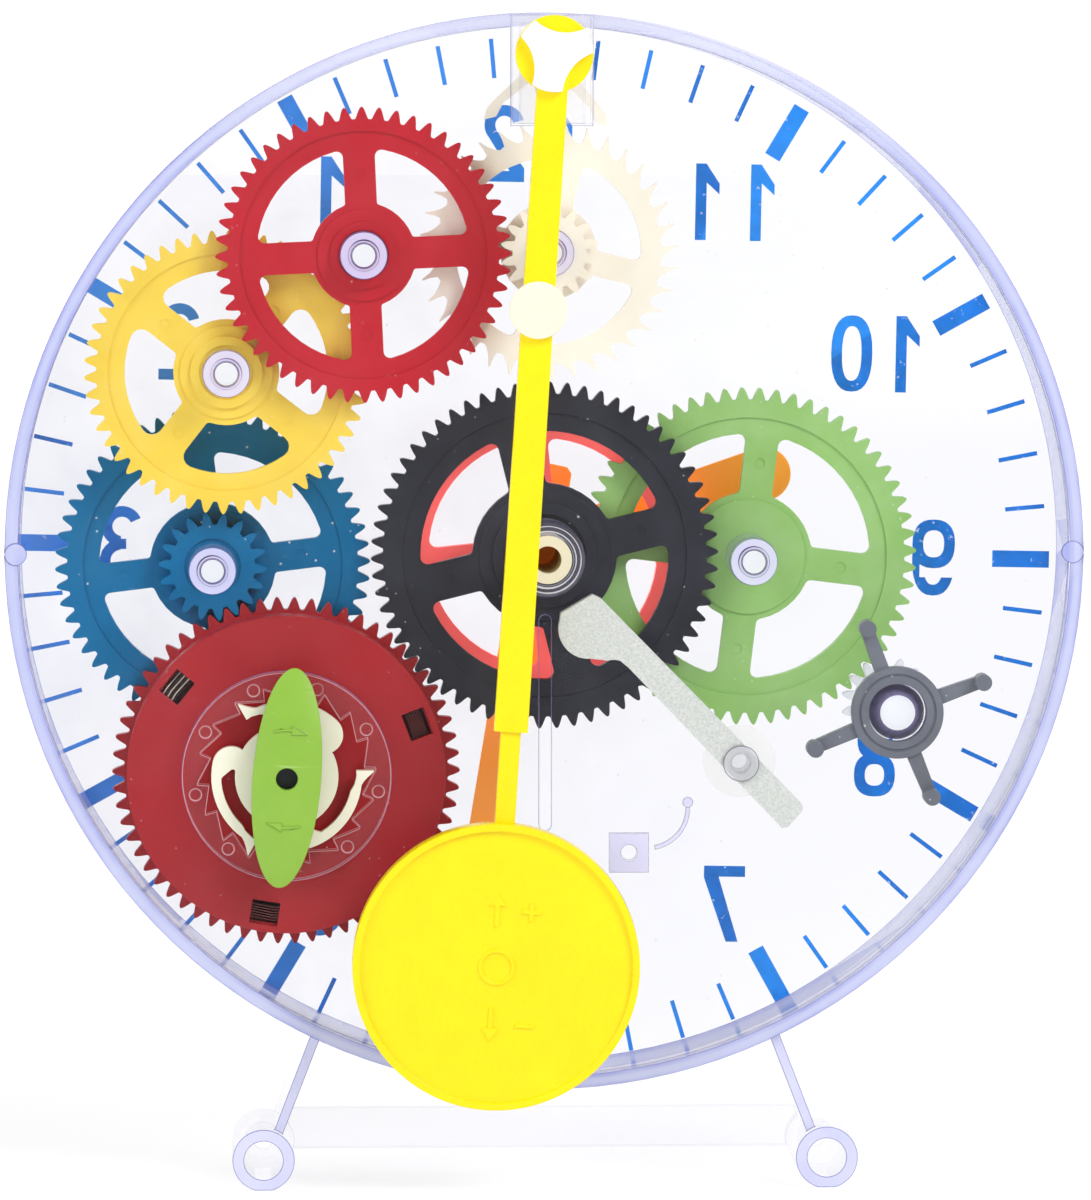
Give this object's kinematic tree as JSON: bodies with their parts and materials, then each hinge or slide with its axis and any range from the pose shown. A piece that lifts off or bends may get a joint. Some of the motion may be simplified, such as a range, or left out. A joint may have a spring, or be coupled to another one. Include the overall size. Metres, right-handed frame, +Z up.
{
  "type": "pendulum clock model",
  "caption": "See-through round pendulum clock on a tube-footed stand: clear case, printed dial, coloured gear train, mainspring barrel, escapement, winding and setting knobs, sliding bob.",
  "frame": {"origin": "on the surface the feet stand on, under the middle of the clock's overall box", "axes": "+Z up; the dial faces -Y and the works, winding knob and pendulum are on the +Y side; +X is to the right of someone reading the dial"},
  "size_m": [0.197, 0.0456, 0.2153],
  "materials": {
    "clear_plastic": "clear polished styrene with a faint lavender cast",
    "rim_plastic": "clear styrene seen edge-on, lavender",
    "dial_ink": "printed blue ink",
    "red_plastic": "moulded red, satin gloss",
    "yellow_plastic": "moulded translucent yellow",
    "blue_plastic": "moulded petrol blue",
    "black_plastic": "moulded black, satin",
    "green_plastic": "moulded translucent leaf green",
    "lime_plastic": "moulded lime green",
    "coral_plastic": "moulded coral pink",
    "orange_plastic": "moulded orange",
    "cream_plastic": "moulded ivory",
    "white_plastic": "moulded milky white",
    "grey_plastic": "moulded dark grey",
    "silver_plastic": "die-cast, fine silver texture",
    "spring_steel": "tempered steel strip",
    "steel": "bright steel",
    "pendulum_yellow": "moulded bright yellow"
  },
  "bodies": {
    "frame": {"dial_plate": "clear_plastic", "dial_markings": "dial_ink", "case_rim": "rim_plastic", "back_plate": "clear_plastic", "ratchet_ring": "clear_plastic", "suspension_bracket": "clear_plastic", "stand_leg_left": "rim_plastic", "stand_leg_right": "rim_plastic", "stand_crossbar": "clear_plastic", "axle_pins": "clear_plastic", "lever_pin": "clear_plastic", "lever_washer": "white_plastic"},
    "barrel": {"barrel_gear": "red_plastic", "barrel_cover": "red_plastic", "mainspring": "spring_steel"},
    "winder": {"winding_arbor": "black_plastic", "click_wheel": "cream_plastic", "winding_knob": "lime_plastic"},
    "second": {"second_wheel": "blue_plastic"},
    "third": {"third_wheel": "yellow_plastic"},
    "fourth": {"fourth_wheel": "red_plastic"},
    "escape": {"escape_wheel": "cream_plastic"},
    "minute": {"centre_wheel": "black_plastic", "minute_arbor": "cream_plastic", "minute_hand": "orange_plastic", "hand_cap": "orange_plastic"},
    "reduction": {"reduction_wheel": "green_plastic"},
    "hour": {"hour_wheel": "coral_plastic", "hour_hand": "orange_plastic"},
    "setting": {"setting_pinion": "clear_plastic", "setting_knob": "grey_plastic"},
    "lever": {"stop_lever": "silver_plastic"},
    "pendulum": {"anchor": "cream_plastic", "anchor_arbor": "steel", "pendulum_rod": "pendulum_yellow", "pendulum_cap": "white_plastic", "rod_button": "cream_plastic"},
    "bob": {"lower_rod": "pendulum_yellow", "pendulum_bob": "pendulum_yellow", "bob_weight": "steel"}
  },
  "joints": [
    {"name": "barrel_spin", "type": "hinge", "parent": "frame", "child": "barrel", "pos_m": [0.0473, -0.0004, 0.07602], "axis": [0, 1, 0], "continuous": true},
    {"name": "second_spin", "type": "hinge", "parent": "frame", "child": "second", "pos_m": [0.06072, -0.0059, 0.11371], "axis": [0, 1, 0], "continuous": true},
    {"name": "third_spin", "type": "hinge", "parent": "frame", "child": "third", "pos_m": [0.05812, -0.0034, 0.14961], "axis": [0, 1, 0], "continuous": true},
    {"name": "fourth_spin", "type": "hinge", "parent": "frame", "child": "fourth", "pos_m": [0.03307, 0.0021, 0.1711], "axis": [0, 1, 0], "continuous": true},
    {"name": "escape_spin", "type": "hinge", "parent": "frame", "child": "escape", "pos_m": [-0.00092, 0.0021, 0.17157], "axis": [0, 1, 0], "continuous": true},
    {"name": "minute_spin", "type": "hinge", "parent": "frame", "child": "minute", "pos_m": [-0.00037, -0.0054, 0.11566], "axis": [0, 1, 0], "continuous": true},
    {"name": "reduction_spin", "type": "hinge", "parent": "frame", "child": "reduction", "pos_m": [-0.03812, -0.0099, 0.1151], "axis": [0, 1, 0], "continuous": true},
    {"name": "hour_spin", "type": "hinge", "parent": "frame", "child": "hour", "pos_m": [-0.00037, -0.0134, 0.11566], "axis": [0, 1, 0], "continuous": true},
    {"name": "setting_spin", "type": "hinge", "parent": "frame", "child": "setting", "pos_m": [-0.06413, 0.0006, 0.08775], "axis": [0, 1, 0], "continuous": true},
    {"name": "winding_turn", "type": "hinge", "parent": "frame", "child": "winder", "pos_m": [0.0473, 0.0056, 0.07602], "axis": [0, 1, 0], "range_deg": [-2160, 0], "deforming": ["click_wheel", "mainspring"]},
    {"name": "stop_lever_swing", "type": "hinge", "parent": "frame", "child": "lever", "pos_m": [-0.0355, 0.0121, 0.0786], "axis": [0, 1, 0], "range_deg": [0, 12]},
    {"name": "pendulum_swing", "type": "hinge", "parent": "frame", "child": "pendulum", "pos_m": [-0.00124, 0.0176, 0.20767], "axis": [0, 1, 0], "range_deg": [-1.5, 8.9]},
    {"name": "bob_adjust", "type": "slide", "parent": "pendulum", "child": "bob", "axis": [-0.0645, 0, 0.9979], "range_m": [-0.006, 0.006]}
  ],
  "couplings": [
    {"joint": "minute_spin", "follows": "barrel_spin", "ratio": -1},
    {"joint": "second_spin", "follows": "barrel_spin", "ratio": -3.4444},
    {"joint": "third_spin", "follows": "barrel_spin", "ratio": 12.056},
    {"joint": "fourth_spin", "follows": "barrel_spin", "ratio": -37.674},
    {"joint": "escape_spin", "follows": "barrel_spin", "ratio": 122.44},
    {"joint": "reduction_spin", "follows": "barrel_spin", "ratio": 0.25},
    {"joint": "hour_spin", "follows": "barrel_spin", "ratio": -0.083333},
    {"joint": "setting_spin", "follows": "barrel_spin", "ratio": -1}
  ]
}
